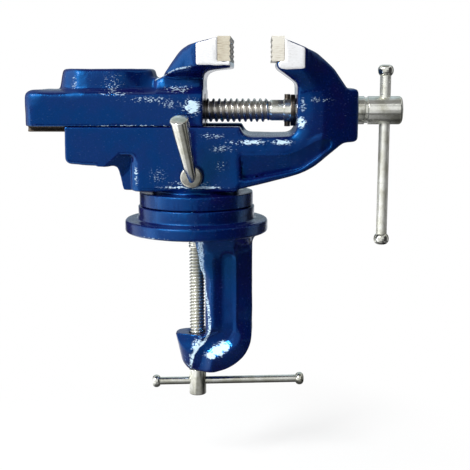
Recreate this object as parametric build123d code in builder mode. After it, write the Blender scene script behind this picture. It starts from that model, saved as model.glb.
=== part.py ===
from build123d import *
import os
from math import cos, radians, sin, tan

# Clamp-on swivel bench vise, in millimetres and degrees.
# The origin lies on the swivel axis, in the face of the round plate that sits on the bench.
# +X runs along the main screw toward its handle, +Z is up, and the lock lever is on the -Y side.

os.makedirs("parts", exist_ok=True)

# Clearances
slide_gap = 0.3     # between faces of pieces that move past each other
bore_gap = 0.05     # radial, a shaft in its bore
seat_gap = 0.02     # radial, a pressed or screwed piece in its hole
overrun = 2.0       # how far a cut passes the face it starts from

# Jaws
jaw_width = 60.0
jaw_opening = 19.7
jaw_top_z = 98.8
fixed_face_x = 38.6
jaw_plate_thick = 6.2
jaw_plate_height = 11.8
jaw_screw_spacing = 34.0
jaw_screw_dia = 4.0
jaw_screw_bite = 5.5
jaw_screw_head_dia = 8.0
jaw_screw_low = 0.7         # below the plate's middle, to stay inside the jaw's sloping back
jaw_screw_slot = 1.2
jaw_screw_slot_depth = 1.3
serration_pitch = 2.5
serration_depth = 0.5

# Main screw
screw_axis_z = 62.7
screw_dia = 12.0
screw_root_dia = 9.2
screw_pitch = 3.0
screw_thread_length = 102.0
screw_relief_dia = 10.6
screw_point = 1.0           # chamfer at the thread's far end
hub_dia = 14.4
hub_length = 17.8
hub_dome = 1.6
hub_groove_dia = 13.0
hub_groove_width = 1.7
outer_washer_thick = 3.8
inner_washer_dia = 16.0
inner_washer_thick = 2.4
cross_pin_dia = 3.0
cross_pin_length = 16.4
nut_dia = 16.0
nut_length = 26.0
nut_pin_dia = 3.0
nut_pin_bite = 1.2      # how far the pin goes into the nut's wall

# Main handle
handle_bar_dia = 5.6
handle_grip_length = 81.6     # between the knobs
handle_drop = 23.4            # how far the bar's middle hangs below the screw
handle_knob_dia = 8.0
handle_knob_length = 5.6
knob_socket_depth = 3.0

# Swivel body
body_width = 46.0
rail_left_x = -64.0
rail_right_x = 23.5
rail_top_z = 55.2
rail_thick = 18.4
rail_corner = 3.0
block_left_x = -31.0
block_right_x = 22.0
block_bottom_z = 22.8
block_corner = 4.5
neck_length = 7.4         # beyond the block, under the rails
neck_foot_length = 4.8    # the same at the block's foot
neck_width = 34.0
neck_height = 18.2
neck_corner = 3.0
flange_dia = 59.4
flange_thick = 7.0
flange_neck_dia = 45.0
seam_z = 13.9
groove_depth = 3.2
groove_top_width = 28.6
groove_flare = 2.0

# Arm of the fixed jaw
boss_face_x = 82.4
boss_top_z = 74.2
boss_bottom_z = 47.4
boss_width = 26.0
boss_edge = 2.4
throat_face_x = 51.5
slot_floor_z = 50.5
slot_left_x = 25.8
slot_corner = 4.0
throat_corner = 5.0
arm_back_radius = 18.0
arm_belly_radius = 38.0
arm_blend = 4.0
web_width = 34.0
web_corner = 3.0
head_back_x = 54.5
head_bottom_z = 83.0
cheek_length = 9.1        # over which the jaw narrows to the arm, seen from above
cheek_height = 9.8        # the same, seen from the front
seat_nose = 2.5           # how far the fixed jaw plate stands out past the nose below it

# Sliding jaw
slide_length = 89.2
slide_top_z = 73.3
slide_shoulder = 3.6
slide_corner = 6.0        # the horn's upright corners
slide_nose = 13.9         # from the slide's front end to the jaw face
tongue_inset = 0.5
core_gap = 0.8            # radial, the screw in the slide's cored hole
anvil_top_z = 83.6
anvil_width = 40.0
anvil_corner = 8.0
anvil_start = 15.7        # from the horn's end
anvil_end = 3.2           # from the valley between jaw and anvil
anvil_edge = 0.8
anvil_draft = 10.0
jaw_neck_width = 34.0
jaw_neck_z = 79.5
jaw_ridge_z = 85.0
jaw_cheek_run = 10.0      # the jaw keeps its full width this far behind its plate
jaw_haunch_run = 24.8
jaw_haunch_width = 44.0
jaw_crown_run = 17.1
jaw_crown_drop = 4.5      # below the jaw's top
jaw_back_radius = 14.0
jaw_top_step = 0.4        # how far the casting's top lies below the plate's
jaw_underside_z = 82.2
jaw_underside_radius = 5.0
jaw_lip = 3.2             # casting under the sliding jaw plate
valley_run = 28.5         # from the plate's back to the valley between jaw and anvil
valley_rise = 5.7         # above the slide's top
valley_radius = 2.5

# Swivel post and its lock
post_dia = 24.0
post_height = 38.4
post_edge = 1.0
post_roof_gap = 1.6
post_groove_depth = 2.6
lock_axis_x = -0.5
lock_axis_z = 30.8
lock_thread_dia = 8.0
lock_cone = 2.4
lock_tip_dia = 3.0
lock_head_dia = 11.0
lock_head_length = 5.4
lock_head_edge = 1.2
lever_length = 35.6
lever_foot_dia = 4.2
lever_top_dia = 8.9
lever_edge = 0.5
lever_root = 3.9          # from the lock head's foot to where the lever crosses its axis
lever_sink = 3.0          # how far the lever's foot runs past the lock screw's axis
lever_lean_left = 8.6
lever_lean_out = 29.0

# Clamp frame
plate_dia = 74.8
plate_thick = 6.6
plate_edge = 0.8
pedestal_dia = 60.8
column_inner_x = 4.8
column_outer_x = 29.4
column_width = 26.0
column_corner = 5.0
column_bevel = 3.6
elbow_reach = 1.6         # how far the elbow runs past the clamp screw's axis
column_root = 6.0         # rounding between the plate and the column's back
pocket_left_x = 12.4
pocket_right_x = 21.4
pocket_depth = 2.0
pocket_top_drop = 9.5     # below the plate
pocket_length = 48.5
frame_depth = 75.6        # of the clamp below the plate
elbow_radius = 22.0
foot_height = 20.4
foot_top_dia = 24.0
foot_waist_dia = 16.4
foot_waist_height = 4.2
foot_base_dia = 11.0

# Clamp screw and its handle
clamp_dia = 8.0
clamp_root_dia = 6.2
clamp_pitch = 1.75
clamp_hub_dia = 9.2
clamp_hub_length = 14.1
clamp_hub_edge = 0.5
clamp_nose_dia = 4.4
clamp_nose_length = 2.2
clamp_least_opening = 5.6   # between plate and pad, with the screw fully home
clamp_pad_dia = 8.6
clamp_pad_thick = 3.8
clamp_pad_edge = 0.6
clamp_bar_dia = 4.1
clamp_bar_drop = 6.9
clamp_bar_turn = 5.0
clamp_bar_left = 24.5      # from the screw to the left knob's outer end
clamp_grip_length = 73.8   # between the knobs
clamp_knob_dia = 6.8
clamp_knob_length = 4.2

# Places worked out from the sizes
body_half = body_width / 2
jaw_half = jaw_width / 2
sliding_face_x = fixed_face_x - jaw_opening
fixed_seat_x = fixed_face_x + jaw_plate_thick
sliding_seat_x = sliding_face_x - jaw_plate_thick
jaw_plate_bottom_z = jaw_top_z - jaw_plate_height
jaw_screw_z = jaw_top_z - jaw_plate_height / 2 - jaw_screw_low
slide_right_x = sliding_face_x - slide_nose
slide_left_x = slide_right_x - slide_length
slide_bottom_z = rail_top_z + slide_gap / 3
groove_floor_z = rail_top_z - groove_depth
tongue_bottom_z = groove_floor_z + slide_gap
rail_bottom_z = rail_top_z - rail_thick
neck_top_z = block_bottom_z + neck_height
flange_top_z = seam_z + flange_thick
pedestal_top_z = seam_z - slide_gap
inner_washer_x = throat_face_x - slide_gap - inner_washer_thick
cross_pin_x = inner_washer_x - slide_gap / 2 - cross_pin_dia / 2
journal_x = cross_pin_x - cross_pin_dia / 2 - slide_gap
thread_end_x = journal_x - screw_dia / 2 + slide_gap
thread_start_x = thread_end_x - screw_thread_length
outer_washer_x = boss_face_x + slide_gap
hub_foot_x = outer_washer_x + outer_washer_thick
hub_x = hub_foot_x + hub_groove_width
hub_end_x = hub_x + hub_length
handle_x = (hub_x + hub_end_x) / 2
handle_middle_z = screw_axis_z - handle_drop
lock_tip_reach = post_dia / 2 - post_groove_depth + slide_gap
lock_head_reach = body_half + slide_gap
frame_bottom_z = -frame_depth
foot_top_z = frame_bottom_z + foot_height
clamp_shoulder_z = frame_bottom_z - slide_gap
clamp_bar_z = clamp_shoulder_z - clamp_bar_drop
pad_top_z = -clamp_least_opening
pad_bottom_z = pad_top_z - clamp_pad_thick
clamp_tip_z = pad_bottom_z - slide_gap
nut_pin_x = slide_right_x - nut_length / 2
nut_pin_top_z = screw_axis_z - nut_dia / 2 + nut_pin_bite
jaw_screw_spots = [(-jaw_screw_spacing / 2, jaw_screw_z), (jaw_screw_spacing / 2, jaw_screw_z)]


def finish(piece, name):
    """Labels a piece and writes it under its own name."""
    piece.part.label = name
    export_step(piece.part, f"parts/{name}.step")


def outline(corners, plane=Plane.XZ):
    """A face on a plane, from (x, y, rounding radius) corners."""
    with BuildSketch(plane) as view:
        with BuildLine():
            FilletPolyline(
                *[(x, y) for x, y, _ in corners],
                radius=[radius for _, _, radius in corners],
                close=True,
            )
        make_face()
    return view.sketch


def mirrored(corners):
    """The corners, then the same on the other side of the first axis, in order round the outline."""
    return corners + [(x, -y, radius) for x, y, radius in reversed(corners)]


def turned(points, plane):
    """A turned piece or bore: an (along, radius) outline revolved about the plane's X axis."""
    with BuildSketch(plane) as section:
        with BuildLine():
            Polyline((points[0][0], 0), *points, (points[-1][0], 0), close=True)
        make_face()
    axis = Axis(plane.origin, plane.x_dir)
    return revolve(section.sketch, axis=axis, mode=Mode.PRIVATE)


def rod(start, end, dia, plane):
    """A plain turned rod or bore between two places on the plane's X axis."""
    return turned([(start, dia / 2), (end, dia / 2)], plane)


def ridges(start, pitch, count, root_dia, crest_dia):
    """The zigzag of a screw thread's section, as (along, radius) points over whole pitches."""
    flat_share, flank_share = 0.3, 0.2
    points = []
    for turn in range(count):
        along = start + turn * pitch
        points += [
            (along, root_dia / 2),
            (along + flat_share * pitch, root_dia / 2),
            (along + (flat_share + flank_share) * pitch, crest_dia / 2),
            (along + (2 * flat_share + flank_share) * pitch, crest_dia / 2),
        ]
    return points + [(start + count * pitch, root_dia / 2)]


def knob(inner, outer, dia, bar_dia, plane):
    """A T-bar knob: a barrel with rounded shoulders and a blind socket for the bar's end."""
    face_share, slope_share = 0.62, 0.9
    along_shares = [0, 0.15, 0.3, 0.7, 0.85, 1]
    radius_shares = [face_share, slope_share, 1, 1, slope_share, face_share]
    barrel = [
        (inner + along * (outer - inner), dia / 2 * radius)
        for along, radius in zip(along_shares, radius_shares)
    ]
    socket_end = inner + (knob_socket_depth if outer > inner else -knob_socket_depth)
    add(turned(barrel, plane))
    add(rod(inner, socket_end, bar_dia + 2 * seat_gap, plane), mode=Mode.SUBTRACT)


def axis_plane(origin, direction, normal):
    """A plane whose X axis is the axis of turned work."""
    return Plane(origin=origin, x_dir=direction, z_dir=normal)


clamp_bar_direction = (cos(radians(clamp_bar_turn)), sin(radians(clamp_bar_turn)), 0)
screw_plane = axis_plane((0, 0, screw_axis_z), (1, 0, 0), (0, -1, 0))
upright_plane = axis_plane((0, 0, 0), (0, 0, 1), (0, -1, 0))
handle_plane = axis_plane((handle_x, 0, 0), (0, 0, 1), (0, -1, 0))
cross_pin_plane = axis_plane((cross_pin_x, 0, screw_axis_z), (0, 0, 1), (0, -1, 0))
nut_pin_plane = axis_plane((nut_pin_x, 0, 0), (0, 0, 1), (0, -1, 0))
lock_plane = axis_plane((lock_axis_x, 0, lock_axis_z), (0, -1, 0), (1, 0, 0))
lever_plane = axis_plane(
    (lock_axis_x, -lock_head_reach - lever_root, lock_axis_z),
    (-tan(radians(lever_lean_left)), -tan(radians(lever_lean_out)), 1),
    (1, 0, tan(radians(lever_lean_left))),
)
clamp_bar_plane = axis_plane((0, 0, clamp_bar_z), clamp_bar_direction, (0, 0, 1))


def jaw_screw_planes(seat_x, facing):
    """The axes of one jaw's two plate screws, starting at its seat and pointing out of the face."""
    return [
        axis_plane((seat_x, y, z), (facing, 0, 0), (0, -1, 0)) for y, z in jaw_screw_spots
    ]


# Fixed jaw casting: arm and jaw, rails, centre block and swivel flange in one
arm_length = boss_face_x - block_right_x
arm_height = jaw_top_z - block_bottom_z
back_crown_share = (0.63, 0.905)
back_haunch_share = (0.783, 0.805)
back_foot_share = (0.906, 0.669)
belly_foot_share = (0.877, 0.32)
belly_knee_share = (0.563, 0.124)
throat_knee_share = (0.48, 0.703)
web_shares = [
    (0.031, 0.243, 0),
    (0.379, 0.243, 1),
    (0.542, 0.278, 1),
    (0.665, 0.362, 1.2),
    (0.81, 0.326, 0.8),
    (0.512, 0.153, 4),
    (0.031, 0.075, 0),
]


def arm_corner(share, radius):
    """A corner of the arm's side view from its shares of the arm's length and height."""
    return (block_right_x + share[0] * arm_length, block_bottom_z + share[1] * arm_height, radius)


arm_corners = [
    (fixed_seat_x, jaw_top_z - seat_nose / 2, 0),
    arm_corner(back_crown_share, arm_back_radius),
    arm_corner(back_haunch_share, arm_back_radius / 2),
    arm_corner(back_foot_share, arm_blend / 2),
    (boss_face_x, boss_top_z, boss_edge),
    (boss_face_x, boss_bottom_z, boss_edge),
    arm_corner(belly_foot_share, arm_blend),
    arm_corner(belly_knee_share, arm_belly_radius),
    (block_right_x - block_corner, block_bottom_z, 0),
    (block_right_x - block_corner, rail_top_z, 0),
    (slot_left_x - seat_nose, rail_top_z, 0),
    (slot_left_x, slot_floor_z, slot_corner),
    (throat_face_x, slot_floor_z, throat_corner),
    (throat_face_x, arm_corner(throat_knee_share, 0)[1], throat_corner / 2),
    (fixed_seat_x - seat_nose, head_bottom_z, seat_nose),
    (fixed_face_x + seat_nose, head_bottom_z + seat_nose / 2, seat_nose / 3),
    (fixed_face_x + seat_nose, jaw_plate_bottom_z, 0),
    (fixed_seat_x, jaw_plate_bottom_z, 0),
]
arm_plan = [
    (rail_left_x, jaw_half, 0),
    (head_back_x, jaw_half, 0),
    (head_back_x + cheek_length, body_half, 0),
    (boss_face_x + overrun, boss_width / 2, 0),
]
arm_front = [
    (0, body_half, 0),
    (head_bottom_z - cheek_height, body_half, 0),
    (head_bottom_z, jaw_half, 0),
    (jaw_top_z + overrun, jaw_half, 0),
]
rail_corners = [
    (rail_left_x, rail_top_z, 0),
    (rail_right_x, rail_top_z, 0),
    (rail_right_x, neck_top_z, 0),
    (block_left_x - neck_length - neck_corner, neck_top_z, 0),
    (block_left_x - neck_length - neck_corner, rail_bottom_z - rail_corner / 2, 0),
    (rail_left_x, rail_bottom_z, rail_corner),
]
neck_corners = [
    (block_left_x - neck_length - neck_corner, neck_top_z, 0),
    (block_left_x - neck_length - neck_corner, rail_bottom_z - rail_corner / 2, 0),
    (block_left_x - neck_length, rail_bottom_z - rail_corner / 2, neck_corner / 2),
    (block_left_x - neck_foot_length, block_bottom_z, 0),
    (block_left_x + block_corner, block_bottom_z, 0),
    (block_left_x + block_corner, neck_top_z, 0),
]
groove_section = [
    (groove_top_width / 2 - groove_flare * overrun / groove_depth, rail_top_z + overrun),
    (groove_top_width / 2 + groove_flare, groove_floor_z),
    (-groove_top_width / 2 - groove_flare, groove_floor_z),
    (-groove_top_width / 2 + groove_flare * overrun / groove_depth, rail_top_z + overrun),
]

with BuildPart() as vise_body:
    extrude(outline(arm_corners), amount=jaw_half, both=True)
    extrude(
        outline(mirrored(arm_plan), Plane.XY), amount=jaw_top_z + overrun, mode=Mode.INTERSECT
    )
    extrude(
        outline(mirrored(arm_front), axis_plane((0, 0, 0), (0, 0, 1), (1, 0, 0))),
        amount=boss_face_x + overrun,
        mode=Mode.INTERSECT,
    )
    # The beam's recessed web on both sides
    web_corners = [arm_corner((x, z), scale * web_corner) for x, z, scale in web_shares]
    for side in (1, -1):
        extrude(
            outline(web_corners, Plane.XZ.offset(side * web_width / 2)),
            amount=side * body_half,
            mode=Mode.SUBTRACT,
        )
    # Rails, neck, centre block, flange and its neck
    extrude(outline(rail_corners), amount=body_half, both=True)
    extrude(outline(neck_corners), amount=neck_width / 2, both=True)
    with BuildSketch(Plane.XY.offset(block_bottom_z)) as block_plan:
        with Locations(((block_left_x + block_right_x) / 2, 0)):
            Rectangle(block_right_x - block_left_x, body_width)
        fillet(block_plan.vertices().group_by(Axis.X)[0], radius=block_corner)
    extrude(amount=neck_height)
    add(rod(seam_z, flange_top_z, flange_dia, upright_plane))
    add(rod(seam_z, block_bottom_z + overrun, flange_neck_dia, upright_plane))
    # The dovetail way along the rails
    with BuildSketch(Plane.YZ.offset(rail_left_x - overrun)):
        with BuildLine():
            Polyline(*groove_section, close=True)
        make_face()
    extrude(amount=rail_right_x - rail_left_x + 2 * overrun, mode=Mode.SUBTRACT)
    # Bores: main screw, swivel post, lock screw, jaw plate screws
    add(
        rod(throat_face_x - overrun, boss_face_x + overrun, screw_dia + 2 * bore_gap, screw_plane),
        mode=Mode.SUBTRACT,
    )
    add(
        rod(0, post_height + post_roof_gap, post_dia + 2 * bore_gap, upright_plane),
        mode=Mode.SUBTRACT,
    )
    add(
        rod(0, body_half + overrun, lock_thread_dia + 2 * bore_gap, lock_plane),
        mode=Mode.SUBTRACT,
    )
    for plane in jaw_screw_planes(fixed_seat_x, -1):
        add(
            rod(-jaw_screw_bite, overrun, jaw_screw_dia + 2 * seat_gap, plane),
            mode=Mode.SUBTRACT,
        )
finish(vise_body, "vise_body")


# Sliding jaw casting: horn and slide, anvil, neck, jaw and dovetail tongue in one
anvil_left_x = slide_left_x + anvil_start
anvil_right_x = sliding_seat_x - valley_run - anvil_end
valley_z = slide_top_z + valley_rise
jaw_plan = [
    (sliding_face_x + overrun, jaw_half, 0),
    (sliding_seat_x - jaw_cheek_run, jaw_half, 0),
    (sliding_seat_x - jaw_haunch_run, jaw_haunch_width / 2, 0),
    (anvil_right_x - anvil_corner, jaw_neck_width / 2, 0),
]
jaw_corners = [
    (slide_right_x, screw_axis_z, 0),
    (slide_right_x, jaw_underside_z, jaw_underside_radius),
    (sliding_face_x, jaw_plate_bottom_z - jaw_lip, jaw_lip / 5),
    (sliding_face_x, jaw_plate_bottom_z, 0),
    (sliding_seat_x, jaw_plate_bottom_z, 0),
    (sliding_seat_x, jaw_top_z - jaw_top_step, 0),
    (sliding_seat_x - jaw_crown_run, jaw_top_z - jaw_crown_drop, jaw_back_radius),
    (sliding_seat_x - valley_run, valley_z, valley_radius),
    (anvil_right_x - anvil_corner, valley_z, 0),
    (anvil_right_x - anvil_corner, screw_axis_z, 0),
]
jaw_front = [
    (0, jaw_neck_width / 2, 0),
    (jaw_neck_z, jaw_neck_width / 2, 0),
    (jaw_ridge_z, jaw_half, 0),
    (jaw_top_z + overrun, jaw_half, 0),
]
tongue_top_half = groove_top_width / 2 - slide_gap
tongue_section = [
    (tongue_top_half, slide_bottom_z + overrun),
    (tongue_top_half, rail_top_z),
    (tongue_top_half + groove_flare * (1 - slide_gap / groove_depth), tongue_bottom_z),
    (-tongue_top_half - groove_flare * (1 - slide_gap / groove_depth), tongue_bottom_z),
    (-tongue_top_half, rail_top_z),
    (-tongue_top_half, slide_bottom_z + overrun),
]

with BuildPart() as slide_bar:
    # The slide's bar, its upper edges rounded along both sides and round the horn's end
    with BuildSketch(Plane.XY.offset(slide_bottom_z)) as bar_plan:
        with Locations(((slide_left_x + slide_right_x) / 2, 0)):
            Rectangle(slide_length, body_width)
        fillet(bar_plan.vertices().group_by(Axis.X)[0], radius=slide_corner)
    extrude(amount=slide_top_z - slide_bottom_z)
    bar_top = slide_bar.faces().sort_by(Axis.Z)[-1].edges()
    fillet(bar_top.sort_by(Axis.X)[:-1], radius=slide_shoulder)

with BuildPart() as anvil:
    with BuildSketch(Plane.XY.offset(slide_top_z - slide_shoulder)) as anvil_plan:
        with Locations(((anvil_left_x + anvil_right_x) / 2, 0)):
            Rectangle(anvil_right_x - anvil_left_x, anvil_width)
        fillet(anvil_plan.vertices(), radius=anvil_corner)
    extrude(amount=anvil_top_z - slide_top_z + slide_shoulder, taper=anvil_draft)
    chamfer(anvil.faces().sort_by(Axis.Z)[-1].edges(), length=anvil_edge)

with BuildPart() as sliding_jaw:
    extrude(outline(jaw_corners), amount=jaw_half, both=True)
    extrude(
        outline(mirrored(jaw_plan), Plane.XY), amount=jaw_top_z + overrun, mode=Mode.INTERSECT
    )
    extrude(
        outline(mirrored(jaw_front), axis_plane((0, 0, 0), (0, 0, 1), (1, 0, 0))),
        amount=slide_length,
        both=True,
        mode=Mode.INTERSECT,
    )
    add(slide_bar.part)
    add(anvil.part)
    # The dovetail tongue
    with BuildSketch(Plane.YZ.offset(slide_left_x + tongue_inset)):
        with BuildLine():
            Polyline(*tongue_section, close=True)
        make_face()
    extrude(amount=slide_length - 2 * tongue_inset)
    # The cored hole for the screw, the nut's seat with its pin hole, and the plate screws' holes
    add(
        rod(
            slide_left_x - overrun, slide_right_x + overrun, screw_dia + 2 * core_gap, screw_plane
        ),
        mode=Mode.SUBTRACT,
    )
    add(
        rod(
            slide_right_x - nut_length, slide_right_x + overrun, nut_dia + 2 * seat_gap, screw_plane
        ),
        mode=Mode.SUBTRACT,
    )
    add(
        rod(tongue_bottom_z - overrun, screw_axis_z, nut_pin_dia + 2 * seat_gap, nut_pin_plane),
        mode=Mode.SUBTRACT,
    )
    for plane in jaw_screw_planes(sliding_seat_x, 1):
        add(
            rod(-jaw_screw_bite, overrun, jaw_screw_dia + 2 * seat_gap, plane),
            mode=Mode.SUBTRACT,
        )
finish(sliding_jaw, "sliding_jaw")


# Main nut, pressed into the slide's front end and held by a pin from below
with BuildPart() as spindle_nut:
    add(rod(slide_right_x - nut_length, slide_right_x, nut_dia, screw_plane))
    add(
        rod(
            slide_right_x - nut_length - overrun,
            slide_right_x + overrun,
            screw_dia + 2 * bore_gap,
            screw_plane,
        ),
        mode=Mode.SUBTRACT,
    )
    add(
        rod(
            screw_axis_z - nut_dia,
            nut_pin_top_z + seat_gap,
            nut_pin_dia + 2 * seat_gap,
            nut_pin_plane,
        ),
        mode=Mode.SUBTRACT,
    )
finish(spindle_nut, "spindle_nut")

with BuildPart() as nut_pin:
    add(rod(tongue_bottom_z + seat_gap, nut_pin_top_z, nut_pin_dia, nut_pin_plane))
finish(nut_pin, "nut_pin")


# Jaw plates with a crosswise serrated face, each held by two countersunk slotted screws
def jaw_plate_section(face_x, back_x):
    """The plate's side view: a flat back, and teeth along the gripping face."""
    into = -1 if face_x > back_x else 1
    teeth = int(jaw_plate_height / serration_pitch)
    margin = (jaw_plate_height - teeth * serration_pitch) / 2
    points = [(back_x, jaw_plate_bottom_z), (face_x, jaw_plate_bottom_z)]
    for tooth in range(teeth):
        low = jaw_plate_bottom_z + margin + tooth * serration_pitch
        points += [
            (face_x, low),
            (face_x + into * serration_depth, low + serration_pitch / 2),
        ]
    last = jaw_plate_bottom_z + margin + teeth * serration_pitch
    return points + [(face_x, last), (face_x, jaw_top_z), (back_x, jaw_top_z)]


def screw_head_cone(clearance):
    """A countersunk head's outline, from its foot to the plate's face side."""
    cone = (jaw_screw_head_dia - jaw_screw_dia) / 2
    face = jaw_plate_thick - serration_depth - seat_gap
    return [
        (face - cone, jaw_screw_dia / 2 + clearance),
        (face, jaw_screw_head_dia / 2 + clearance),
    ]


def jaw_plate(face_x, back_x, facing):
    """One serrated plate with its countersunk holes."""
    with BuildPart() as plate:
        with BuildSketch(Plane.XZ):
            with BuildLine():
                Polyline(*jaw_plate_section(face_x, back_x), close=True)
            make_face()
        extrude(amount=jaw_half, both=True)
        for plane in jaw_screw_planes(back_x, facing):
            foot, rim = screw_head_cone(seat_gap)
            hole = [(-overrun, foot[1]), foot, rim, (jaw_plate_thick + overrun, rim[1])]
            add(turned(hole, plane), mode=Mode.SUBTRACT)
    return plate


def jaw_screws(back_x, facing):
    """Both screws of one plate, with a straight slot across each head."""
    with BuildPart() as screws:
        foot, rim = screw_head_cone(0)
        for plane in jaw_screw_planes(back_x, facing):
            add(turned([(-jaw_screw_bite + seat_gap, foot[1]), foot, rim], plane))
        slot_x = back_x + facing * (rim[0] - jaw_screw_slot_depth / 2)
        with Locations(*[(slot_x, y, z) for y, z in jaw_screw_spots]):
            Box(jaw_screw_slot_depth, jaw_screw_head_dia, jaw_screw_slot, mode=Mode.SUBTRACT)
    return screws


fixed_jaw_plate = jaw_plate(fixed_face_x, fixed_seat_x, -1)
finish(fixed_jaw_plate, "fixed_jaw_plate")
sliding_jaw_plate = jaw_plate(sliding_face_x, sliding_seat_x, 1)
finish(sliding_jaw_plate, "sliding_jaw_plate")
fixed_jaw_screws = jaw_screws(fixed_seat_x, -1)
finish(fixed_jaw_screws, "fixed_jaw_screws")
sliding_jaw_screws = jaw_screws(sliding_seat_x, 1)
finish(sliding_jaw_screws, "sliding_jaw_screws")


# Main screw: thread, relief, journal in the boss, groove and hub with the bar's cross hole
screw_ridges = int(screw_thread_length / screw_pitch)
spindle_outline = (
    [(thread_start_x - screw_point, screw_root_dia / 2 - screw_point / 2)]
    + ridges(thread_start_x, screw_pitch, screw_ridges, screw_root_dia, screw_dia)
    + [
        (thread_end_x, screw_relief_dia / 2),
        (journal_x, screw_relief_dia / 2),
        (journal_x, screw_dia / 2),
        (hub_foot_x, screw_dia / 2),
        (hub_foot_x, hub_groove_dia / 2),
        (hub_x, hub_groove_dia / 2),
        (hub_x, hub_dia / 2),
        (hub_end_x - hub_dome, hub_dia / 2),
        (hub_end_x - hub_dome / 4, hub_dia / 2 - hub_dome / 2),
        (hub_end_x, hub_dia / 2 - 2 * hub_dome),
    ]
)

with BuildPart() as spindle:
    add(turned(spindle_outline, screw_plane))
    add(
        rod(
            screw_axis_z - hub_dia,
            screw_axis_z + hub_dia,
            handle_bar_dia + 2 * bore_gap,
            handle_plane,
        ),
        mode=Mode.SUBTRACT,
    )
    add(
        rod(-screw_dia, screw_dia, cross_pin_dia + 2 * seat_gap, cross_pin_plane),
        mode=Mode.SUBTRACT,
    )
finish(spindle, "spindle")

with BuildPart() as cross_pin:
    add(rod(-cross_pin_length / 2, cross_pin_length / 2, cross_pin_dia, cross_pin_plane))
finish(cross_pin, "cross_pin")

with BuildPart() as inner_thrust_washer:
    add(rod(inner_washer_x, inner_washer_x + inner_washer_thick, inner_washer_dia, screw_plane))
    add(
        rod(
            inner_washer_x - overrun,
            throat_face_x + overrun,
            screw_dia + 2 * bore_gap,
            screw_plane,
        ),
        mode=Mode.SUBTRACT,
    )
finish(inner_thrust_washer, "inner_thrust_washer")

with BuildPart() as outer_thrust_washer:
    add(rod(outer_washer_x, hub_foot_x, hub_dia, screw_plane))
    add(
        rod(
            outer_washer_x - overrun, hub_foot_x + overrun, screw_dia + 2 * bore_gap, screw_plane
        ),
        mode=Mode.SUBTRACT,
    )
finish(outer_thrust_washer, "outer_thrust_washer")


# Main handle: sliding bar with a knob pressed on each end
handle_top_z = handle_middle_z + handle_grip_length / 2
handle_foot_z = handle_middle_z - handle_grip_length / 2

with BuildPart() as handle_bar:
    add(
        rod(
            handle_foot_z - knob_socket_depth + seat_gap,
            handle_top_z + knob_socket_depth - seat_gap,
            handle_bar_dia,
            handle_plane,
        )
    )
finish(handle_bar, "handle_bar")

with BuildPart() as handle_knob_top:
    knob(
        handle_top_z,
        handle_top_z + handle_knob_length,
        handle_knob_dia,
        handle_bar_dia,
        handle_plane,
    )
finish(handle_knob_top, "handle_knob_top")

with BuildPart() as handle_knob_bottom:
    knob(
        handle_foot_z,
        handle_foot_z - handle_knob_length,
        handle_knob_dia,
        handle_bar_dia,
        handle_plane,
    )
finish(handle_knob_bottom, "handle_knob_bottom")


# Lock screw with a rounded head, and its tapered lever set aslant in the head
def lever_outline(clearance):
    """The tapered lever's outline from foot to top, with a small edge at the top."""
    top = lever_length - lever_sink
    return [
        (-lever_sink - clearance, lever_foot_dia / 2 + clearance),
        (top - lever_edge, lever_top_dia / 2 + clearance),
        (top + clearance, lever_top_dia / 2 - lever_edge + clearance),
    ]


lock_head_end = lock_head_reach + lock_head_length
lock_outline = [
    (lock_tip_reach, lock_tip_dia / 2),
    (lock_tip_reach + lock_cone, lock_thread_dia / 2),
    (lock_head_reach, lock_thread_dia / 2),
    (lock_head_reach, lock_head_dia / 2),
    (lock_head_end - lock_head_edge, lock_head_dia / 2),
    (lock_head_end - lock_head_edge / 3, lock_head_dia / 2 - lock_head_edge / 3),
    (lock_head_end, lock_head_dia / 2 - lock_head_edge),
]

with BuildPart() as lock_screw:
    add(turned(lock_outline, lock_plane))
    add(turned(lever_outline(seat_gap), lever_plane), mode=Mode.SUBTRACT)
finish(lock_screw, "lock_screw")

with BuildPart() as lock_lever:
    add(turned(lever_outline(0), lever_plane))
finish(lock_lever, "lock_lever")


# Clamp frame: pedestal, bench plate, column, foot and the grooved swivel post in one casting
column_side = [
    (column_inner_x, plate_thick / 2, 0),
    (column_outer_x, plate_thick / 2, 0),
    (column_outer_x, frame_bottom_z, elbow_radius),
    (-elbow_reach, frame_bottom_z, 0),
    (-elbow_reach, foot_top_z, 0),
    (column_inner_x, foot_top_z, 0),
]
column_plan = [
    (-elbow_reach, foot_base_dia / 2, 0),
    (column_inner_x, column_width / 2 - column_bevel, 0),
    (column_inner_x + column_bevel, column_width / 2, column_bevel / 2),
    (column_outer_x, column_width / 2, 0),
]
column_root_corners = [
    (column_outer_x - column_root, plate_thick / 2, 0),
    (column_outer_x + column_root + plate_edge, plate_thick / 2, 0),
    (column_outer_x + column_root + plate_edge, 0, 0),
    (column_outer_x, 0, column_root),
    (column_outer_x, -column_root - plate_edge, 0),
    (column_outer_x - column_root, -column_root - plate_edge, 0),
]
post_outline = [
    (plate_thick, post_dia / 2),
    (lock_axis_z - post_groove_depth - lock_tip_dia / 2, post_dia / 2),
    (lock_axis_z - lock_tip_dia / 2, post_dia / 2 - post_groove_depth),
    (lock_axis_z + lock_tip_dia / 2, post_dia / 2 - post_groove_depth),
    (lock_axis_z + post_groove_depth + lock_tip_dia / 2, post_dia / 2),
    (post_height - post_edge, post_dia / 2),
    (post_height, post_dia / 2 - post_edge),
]
plate_outline = [
    (0, plate_dia / 2 - plate_edge),
    (plate_edge, plate_dia / 2),
    (plate_thick - plate_edge, plate_dia / 2),
    (plate_thick, plate_dia / 2 - plate_edge),
    (plate_thick, pedestal_dia / 2),
    (pedestal_top_z, pedestal_dia / 2),
]
foot_outline = [
    (frame_bottom_z, foot_base_dia / 2),
    (frame_bottom_z + foot_waist_height, foot_waist_dia / 2),
    (foot_top_z, foot_top_dia / 2),
]
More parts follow.
